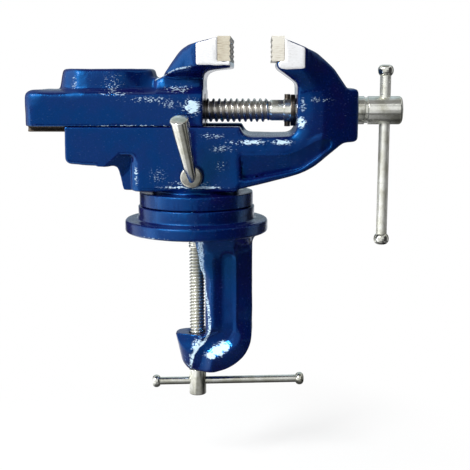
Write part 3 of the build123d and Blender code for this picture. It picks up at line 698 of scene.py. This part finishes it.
def body_shape(coords):
    """Carves the body's sides: the arm's hollow and flange, and the step and corner left of the block."""
    x, y, z = coords.T.copy()
    # The arm's hollow starts flush at its upper edge and deepens down to the lower flange
    top, foot = np.interp(x, WEB_X, WEB_TOP), np.interp(x, WEB_X, WEB_FOOT)
    share = np.clip((top - z) / (top - foot), 0, 1)
    side = BODY_HALF - TAPER * np.maximum(x - TAPER_X, 0)
    deep = 0.0042 - 0.0016 * rise(x, 0.030, 0.062)
    bottom = side - 0.0002 - deep * share**0.85
    inside = (x > 0.0205) * (x < 0.0700) * (z > foot - 0.0025) * (z < top + 0.0025) * (abs(y) > 0.0160)
    y = np.where(inside, np.sign(y) * np.maximum(abs(y), bottom), y)
    # Below the hollow the flange leans under
    under = 0.27 * np.clip(foot - 0.0006 - z, 0, 0.007) * rise(x, 0.0215, 0.0240)
    under = under * (1 - rise(x, 0.066, 0.072))
    y = np.where(abs(y) > 0.0120, np.sign(y) * (abs(y) - under * (z > 0.0215)), y)
    # The centre block's left corners are broken by a wide bevel
    bevel = 0.0229 - 0.577 * np.clip(-0.0268 - x, 0, 0.0042)
    corner = (x > -0.0309) * (x < -0.0262) * (abs(y) > 0.0182) * (z > 0.0232)
    share = corner * (1 - rise(z, 0.0365, 0.0405))
    y = np.sign(y) * (abs(y) + (np.maximum(bevel, 0) - abs(y)) * share)
    # The step left of the block is flush at the rail and deeper toward the block's corner
    share = np.clip((0.0410 - z + 0.9 * (x + 0.0414) - 0.0030) / 0.0120, 0, 1)
    inside = (x > -0.0480) * (x < -0.0304) * (z > 0.0232) * (z < 0.0418) * (abs(y) > 0.0160)
    y = np.where(inside, np.sign(y) * np.maximum(abs(y), 0.0229 - 0.0058 * share), y)
    return np.stack([x, y, z], axis=1)


def body_part(c):
    return 1 if abs(c.y) > PAD_SIDE and c.z > 0.0825 and c.x < 0.0575 else 0


body_mesh = casting("vise_body", 3, body_crisp, body_soft, body_shape)
cut_sides(body_mesh)
paint(body_mesh, [blue_enamel, pad_steel], body_part)
piece("vise_body_cast", body_mesh, "body", "vise_body")


# The slide's casting, with the sliding jaw and the anvil
TONGUE_TOP = 0.05525  # below it the slide is bare


def jaw_crisp(x, y, z):
    seat = near(x, 0.0127, 0.0016) * (z > 0.0845) + near(x, 0.0189, 0.0012) * (z > 0.081)
    pad = (abs(y) > 0.0285) * (z > 0.0845) * 0.7
    way = 0.75 * near(z, 0.0553, 0.0010) + (z < 0.0550)
    end = 0.5 * near(x, 0.0050, 0.0010) * (z < 0.0735)
    return seat + pad + way + end


def jaw_soft(x, y, z):
    side = rise(abs(y), 0.008, 0.014)
    pad = rise(x, -0.0035, 0.0005) * rise(z, 0.0785, 0.0815)
    return side * rise(x, -0.034, -0.026) * rise(z, 0.071, 0.074) * (1 - pad)


def jaw_shape(coords):
    """The anvil narrows toward the valley, and its left corners are eased."""
    x, y, z = coords.T.copy()
    less = 0.0050 * rise(x, -0.0400, -0.0225) * (1 - rise(x, -0.0200, -0.0182))
    less = (less + 0.0026 * (1 - rise(x, -0.0630, -0.0565))) * rise(z, 0.0712, 0.0745)
    y = np.sign(y) * np.maximum(abs(y) - less * rise(abs(y), 0.006, 0.014), 0)
    return np.stack([x, y, z], axis=1)


def jaw_part(c):
    return 2 if c.z < TONGUE_TOP else 1 if abs(c.y) > PAD_SIDE and c.z > 0.0835 else 0


jaw_mesh = casting("sliding_jaw", 8, jaw_crisp, jaw_soft, jaw_shape)
cut_sides(jaw_mesh)
cut(jaw_mesh, (0, 0, TONGUE_TOP), UP)
paint(jaw_mesh, [blue_enamel, pad_steel, bare_iron], jaw_part)
piece("sliding_jaw_cast", jaw_mesh, "slide", "sliding_jaw")


# The clamp's casting
POST_FOOT = 0.0142  # above it the bare post begins
# How far the column's left edge reaches under the plate: height, x
EDGE = [
    (-0.0260, 0.0048),
    (-0.0220, 0.0036),
    (-0.0188, 0.0022),
    (-0.0125, 0.0013),
    (-0.0047, -0.0006),
    (0.0, -0.0024),
]
EDGE_Z, EDGE_X = zip(*EDGE)
RIDGE_Z, RIDGE_X = zip(*RIDGE)
# The middle of the column's hollow, from the top round the elbow: x, height
HOLLOW = [(0.0169, -0.016), (0.0169, -0.0475), (0.0166, -0.0520), (0.0154, -0.0547), (0.0018, -0.0619)]


def frame_crisp(x, y, z):
    plate_rim = 0.92 * near(np.hypot(x, y), 0.0374, 0.0020) * (z > -0.001)
    ring_rim = 0.9 * near(np.hypot(x, y), 0.0304, 0.0015) * ((z > 0.010) + near(z, 0.0066, 0.0012))
    return 0.9 * near(z, 0.0136, 0.0009) + plate_rim + ring_rim + (z > POST_FOOT)


def to_line(x, z, points):
    """Distance from each point to a line of straight runs."""
    best = np.full(len(x), 1.0)
    for (ax, az), (bx, bz) in zip(points, points[1:]):
        run_x, run_z = bx - ax, bz - az
        share = np.clip(((x - ax) * run_x + (z - az) * run_z) / (run_x**2 + run_z**2), 0, 1)
        best = np.minimum(best, np.hypot(x - ax - share * run_x, z - az - share * run_z))
    return best


def column_shape(coords):
    """The hollow round the elbow, the outer side sloping away from it, and the parting line's bevel."""
    x, y, z = coords.T.copy()
    wide = abs(y)
    ridge = np.interp(z, RIDGE_Z, RIDGE_X)
    # The rounding into the plate, clear of the clamp screw
    root = (np.interp(z, EDGE_Z, EDGE_X) - EDGE_X[0]) * (z < -0.0002)
    x = x + root * rise(wide, 0.0055, 0.0085) * (1 - rise(x, 0.0055, 0.0120))
    # The hollow, and the flank outside it
    right = rise(x, 0.004, 0.012)
    elbow = 1 - rise(z, -0.058, -0.046)
    out = np.where(z > ELBOW_Z, x - ELBOW_X, np.hypot(np.maximum(x - ELBOW_X, 0), z - ELBOW_Z))
    wall = (0.0019 + 0.0015 * elbow) * np.clip((0.0078 - to_line(x, z, HOLLOW)) / 0.0050, 0, 1)
    hollow = np.maximum(wall, 0.0019 * rise(out, 0.0120, 0.0155) * right * (1 - elbow))
    past = np.maximum(out - 0.0134, 0) * right * rise(-z, -0.001, 0.006)
    flank = COLUMN_HALF - hollow - 0.36 * past - 24 * past**2
    # The bevel is steep beside the parting line and flatter farther left
    left = np.maximum(ridge - x, 0)
    bevel = COLUMN_HALF - 0.95 * np.minimum(left, 0.0040) - 0.40 * np.maximum(left - 0.0040, 0)
    zone = rise(-z, 0.0004, 0.0070) * (wide > 0.0045)
    made = np.minimum(wide, np.minimum(flank, bevel))
    flare = 0.0046 * np.clip(1 + z / 0.0105, 0, 1) ** 1.4 * (z < -0.0001) * (x > 0.0030)
    y = np.sign(y) * (wide + (made - wide) * zone + flare * rise(wide, 0.009, 0.012))
    return np.stack([x, y, z], axis=1)


frame_mesh = casting("clamp_frame", 12, frame_crisp, None, column_shape)
paint(frame_mesh, [blue_enamel, dark_steel], lambda c: 1 if c.z > POST_FOOT else 0)
piece("clamp_frame_cast", frame_mesh, "base", "clamp_frame")


# Main screw
def along_screw(along, x, y):
    return (along, x, SCREW_Z + y)


def on_screw(outline, radius):
    """A turned form on the main screw's axis, with rounded corners."""
    return turned(rounded(outline, radius), (0, 0, SCREW_Z), ALONG_X)


spindle_thread = thread(-0.06235, 0.03985, 0.003, 0.0046, 0.0060, along_screw)
spindle_core = on_screw([(-0.06335, 0.0036), (-0.06235, 0.00461), (0.0385, 0.00461)], 0.0004)
spindle = joined(spindle_thread, spindle_core)
piece("spindle_thread", spindle, "main_screw", "spindle", spindle_steel)

hub = on_screw(
    [
        (0.0375, 0.0044), (0.0388, 0.0053), (0.04535, 0.0053), (0.04535, 0.0060),
        (0.0865, 0.0060), (0.0865, 0.0065), (0.0882, 0.0065), (0.0882, 0.0072),
        (0.1046, 0.0072), (0.1056, 0.0064), (0.1060, 0.0040),
    ],
    0.0005,
)
hole = turned([(-0.012, 0.00285), (0.012, 0.00285)], (BAR_X, 0, SCREW_Z), UP, 64)
piece("spindle_hub", drilled(hub, hole), "main_screw", "spindle", nickel_hub)

washer = on_screw([(0.0827, 0.0064), (0.0827, 0.0072), (0.0865, 0.0072), (0.0865, 0.0064)], 0.0004)
piece("outer_washer", washer, "main_screw", "outer_thrust_washer", nickel_hub)
inner = on_screw([(0.0488, 0.0063), (0.0488, 0.0080), (0.0512, 0.0080), (0.0512, 0.0063)], 0.0003)
piece("inner_washer", inner, "main_screw", "inner_thrust_washer", dark_steel)
pin_outline = rounded([(-0.0082, 0.0011), (-0.0082, 0.0015), (0.0082, 0.0015), (0.0082, 0.0011)], 0.0003)
pin = turned(pin_outline, (0.04715, 0, SCREW_Z), UP, 48)
piece("screw_cross_pin", pin, "main_screw", "cross_pin", dark_steel)


# Handle bars and their knobs
# A knob is a full round barrel with a small flat on its end: share of its length, share of its radius
KNOB_OUTLINE = [
    (0.0, 0.70), (0.06, 0.80), (0.2, 0.93), (0.35, 0.99), (0.5, 1.0),
    (0.64, 0.985), (0.78, 0.92), (0.89, 0.80), (0.96, 0.66), (1.0, 0.48),
]


def knobs(radius, origin, direction, body, rows):
    """The knobs at a bar's ends: piece, where each starts and ends along the bar, CAD node."""
    for name, start, end, node in rows:
        outline = [(start + (end - start) * a, radius * r) for a, r in KNOB_OUTLINE]
        mesh = turned(rounded(outline, 0.0012, 2), origin, direction, 72)
        piece(name, mesh, body, node, nickel_plain)


bar = turned([(-0.0045, 0.0028), (0.0831, 0.0028)], (BAR_X, 0, 0), UP, 64)
piece("main_bar", bar, "main_handle", "handle_bar", nickel_bar)
knobs(
    0.0040,
    (BAR_X, 0, 0),
    UP,
    "main_handle",
    (
        ("main_knob_top", 0.0801, 0.0857, "handle_knob_top"),
        ("main_knob_bottom", -0.0015, -0.0071, "handle_knob_bottom"),
    ),
)

clamp_bar_way, clamp_bar_place = (cos(radians(5)), sin(radians(5)), 0), (0, 0, CLAMP_BAR_Z)
low_bar = turned([(-0.0233, 0.00205), (0.0565, 0.00205)], clamp_bar_place, clamp_bar_way, 56)
piece("clamp_bar_turned", low_bar, "bench_handle", "clamp_bar", nickel_x)
knobs(
    0.0034,
    clamp_bar_place,
    clamp_bar_way,
    "bench_handle",
    (
        ("clamp_knob_l", -0.0203, -0.0245, "clamp_knob_left"),
        ("clamp_knob_r", 0.0535, 0.0577, "clamp_knob_right"),
    ),
)


# Lock screw and lever
head_outline = [(0.0085, 0.0040), (0.0233, 0.0040), (0.0233, 0.0055), (0.0282, 0.0055), (0.0287, 0.0043)]
head = turned(rounded(head_outline, 0.0009), (LOCK_X, 0, LOCK_Z), (0, -1, 0), 72)
piece("lock_head", head, "lock", "lock_screw", nickel_painted_shade)
lean = (-tan(radians(8.6)), -tan(radians(29)), 1)
lever_outline = [(-0.0048, 0.0016), (-0.0050, 0.0024), (0.0332, 0.00455), (0.0336, 0.0042), (0.0338, 0.0030)]
lever = turned(rounded(lever_outline, 0.0004), (LOCK_X, -0.0272, LOCK_Z), lean, 72)
piece("lock_lever_turned", lever, "lock", "lock_lever", nickel_plain)


# Clamp screw and its pad
def along_clamp(along, x, y):
    return (x, y, along)


clamp_thread = thread(-0.0765, -0.0094, 0.00175, 0.0033, 0.0040, along_clamp, 44, 0.6)
clamp_core = turned([(-0.0762, 0.00331), (-0.0097, 0.00331)], (0, 0, 0), UP, 48)
clamp_screw = joined(clamp_thread, clamp_core)
piece("clamp_screw_thread", clamp_screw, "bench_screw", "clamp_screw", clamp_steel)
hub_outline = rounded([(-0.0900, 0.0036), (-0.0900, 0.0046), (-0.0759, 0.0046), (-0.0759, 0.0032)], 0.0005)
clamp_hub = turned(hub_outline, (0, 0, 0), UP, 72)
cross = turned([(-0.010, 0.0021), (0.010, 0.0021)], clamp_bar_place, clamp_bar_way, 56)
piece("clamp_screw_hub", drilled(clamp_hub, cross), "bench_screw", "clamp_screw", nickel_z)
pad_outline = [
    (-0.0094, 0.0030), (-0.0094, 0.0038), (-0.0090, 0.0042), (-0.0084, 0.0043), (-0.0080, 0.0039),
    (-0.0077, 0.0039), (-0.0073, 0.0043), (-0.0070, 0.0043), (-0.0066, 0.0039), (-0.0063, 0.0039),
    (-0.0060, 0.0043), (-0.0057, 0.0042), (-0.0056, 0.0038), (-0.0056, 0.0030),
]
clamp_pad = turned(pad_outline, (0, 0, 0), UP, 72)
piece("clamp_pad_turned", clamp_pad, "pad", "clamp_pad", nickel_z)

# CAD nodes that keep their own shape
for node, finish in (
    ("fixed_jaw_plate", plate_steel_lit),
    ("sliding_jaw_plate", plate_steel),
    ("fixed_jaw_screws", dark_steel),
    ("sliding_jaw_screws", dark_steel),
    ("spindle_nut", dark_steel),
    ("nut_pin", dark_steel),
):
    coat(nodes[node], finish)


# Floor
FLOOR_Z, FLOOR_RADIUS = -0.136, 0.32
WHITE = (1, 1, 1, 1)


def floor():
    """A pale floor that keeps the shadow near the object and turns white farther out."""
    made, t, shader = material("floor", Roughness=0.9)
    shader.inputs["Base Color"].default_value = (0.84, 0.84, 0.84, 1)
    path = t.tree.nodes.new("ShaderNodeLightPath").outputs
    place = t.place()
    seen = t.most(path["Is Camera Ray"], path["Is Transmission Ray"])
    glow = t.ramp(t.length(place), 0.13, 0.24, 0.75, 1.0)
    white = t.add("Emission", {"Color": WHITE, "Strength": 1.0})
    lit = t.add("MixShader", {0: t.product(seen, glow), 1: shader.outputs[0], 2: white})
    # In gloss it shows painted light to the left and painted shade under the object
    across, out, _ = t.parts(place)
    gloss_light_and_shade = t.minus(t.ramp(across, -0.078, -0.028, 1.25, 0.36), t.ramp(across, 0.07, 0.16, 0.0, 0.30))
    gloss_light_and_shade = t.total(gloss_light_and_shade, t.ramp(across, 0.20, 0.24, 0.0, 0.30))
    away = t.most(t.size(out), t.product(across, -0.6))
    gloss_light_and_shade = t.product(gloss_light_and_shade, t.ramp(away, 0.0, 0.12, 0.15, 1.0))
    painted_in_gloss = t.add("Emission", {"Color": WHITE, "Strength": gloss_light_and_shade})
    mixed = t.add("MixShader", {0: path["Is Glossy Ray"], 1: lit, 2: painted_in_gloss})
    t.put(t.tree.nodes["Material Output"].inputs["Surface"], mixed)
    mesh = turned([(-0.002, FLOOR_RADIUS), (0.0, FLOOR_RADIUS)], (0, 0, FLOOR_Z), UP, 128)
    disc = bpy.data.objects.new("floor", mesh)
    scene.collection.objects.link(disc)
    coat(disc, made)


floor()


# Light
# Soft boxes round the object: from and to this compass angle from the front, softness, strength
BOXES = [
    (-57, 3, 4, 0.55),
    (-57, 31, 8, 0.24),
    (94, 119, 4, 0.45),
    (-84, -60, 4, 2.3),
    (-121, -82, 5, 1.1),
]


def world():
    """White behind, and round the object the soft boxes and dark gaps that give gloss its shapes."""
    studio = bpy.data.worlds.new("studio")
    scene.world = studio
    studio.use_nodes = True
    t = Tree(studio.node_tree)
    x, y, z = t.parts(t.add("TexCoord", out="Generated"))
    azimuth = t.product(t.math("ARCTAN2", x, t.product(y, -1.0)), 180 / pi)
    spread = t.size(azimuth)

    # The boxes stand on a low edge, lower still on the left; one more starts above eye level
    boxes = [t.product(t.band(azimuth, low, high, soft), strength) for low, high, soft, strength in BOXES]
    raised = t.product(t.band(azimuth, 2, 36, 5), t.ramp(z, 0.05, 0.13), 0.55)
    low_edge = t.minus(-0.36, t.product(t.band(azimuth, -121, -50, 5), 0.40))
    around = t.product(t.ramp(t.minus(z, low_edge), -0.06, 0.06), t.fall(z, 0.56, 0.64))
    level = t.product(t.total(0.05, *boxes, raised), around)

    # The backdrop with two brighter strips, the canopy over it, and the light overhead
    low_strip = t.product(t.band(z, -0.02, 0.10, 0.02), 0.75)
    strips = t.most(low_strip, t.product(t.band(z, 0.21, 0.36, 0.03), 0.80))
    level = t.most(
        level,
        t.product(t.ramp(spread, 150, 160), strips),
        t.product(t.ramp(spread, 148, 160), t.band(z, -0.30, 0.36, 0.05), 0.30),
        t.product(t.ramp(spread, 112, 124), t.ramp(z, 0.32, 0.44), 0.50),
        t.product(t.band(z, 0.66, 0.80, 0.03), 0.95),
        t.ramp(z, 0.80, 0.88, 0.05, 0.22),
    )

    path = t.tree.nodes.new("ShaderNodeLightPath").outputs
    behind = t.product(t.ramp(spread, 150, 158), t.band(z, -0.36, 0.0, 0.03))
    seen = t.most(
        path["Is Camera Ray"], path["Is Transmission Ray"], t.product(path["Is Glossy Ray"], behind)
    )
    tint = t.mix(t.product(t.ramp(spread, 140, 155), t.minus(1.0, seen)), WHITE, (0.78, 0.93, 1.0, 1))
    back = t.tree.nodes["Background"]
    t.put(back.inputs["Strength"], t.most(level, seen))
    t.put(back.inputs["Color"], tint)


world()


def lamp(name, azimuth, height, distance, size, power):
    """A square soft light aimed at the object, placed by compass angle from the front and by height."""
    data = bpy.data.lights.new(name, "AREA")
    data.shape, data.size, data.energy = "SQUARE", size, power
    made = bpy.data.objects.new(name, data)
    a, h = radians(azimuth), radians(height)
    way = Vector((sin(a) * cos(h), -cos(a) * cos(h), sin(h)))
    made.location = Vector((0.01, 0, 0.02)) + way * distance
    made.rotation_euler = way.to_track_quat("Z", "Y").to_euler()
    scene.collection.objects.link(made)


lamp("key", -40, 36, 1.1, 0.28, 16)

# Camera
IMAGE_PX, FOCAL_PX, SENSOR_MM = 470, 904, 36
LOOKS_DOWN, TURNS_LEFT = 9.85, 1.7  # degrees
lens = bpy.data.cameras.new("camera")
lens.sensor_width = SENSOR_MM
lens.lens = FOCAL_PX / IMAGE_PX * SENSOR_MM
camera = bpy.data.objects.new("camera", lens)
camera.location = (0.0342, -0.470, 0.079)
camera.rotation_euler = (radians(90 - LOOKS_DOWN), 0, radians(TURNS_LEFT))
scene.collection.objects.link(camera)
scene.camera = camera
scene.view_settings.view_transform = "Standard"
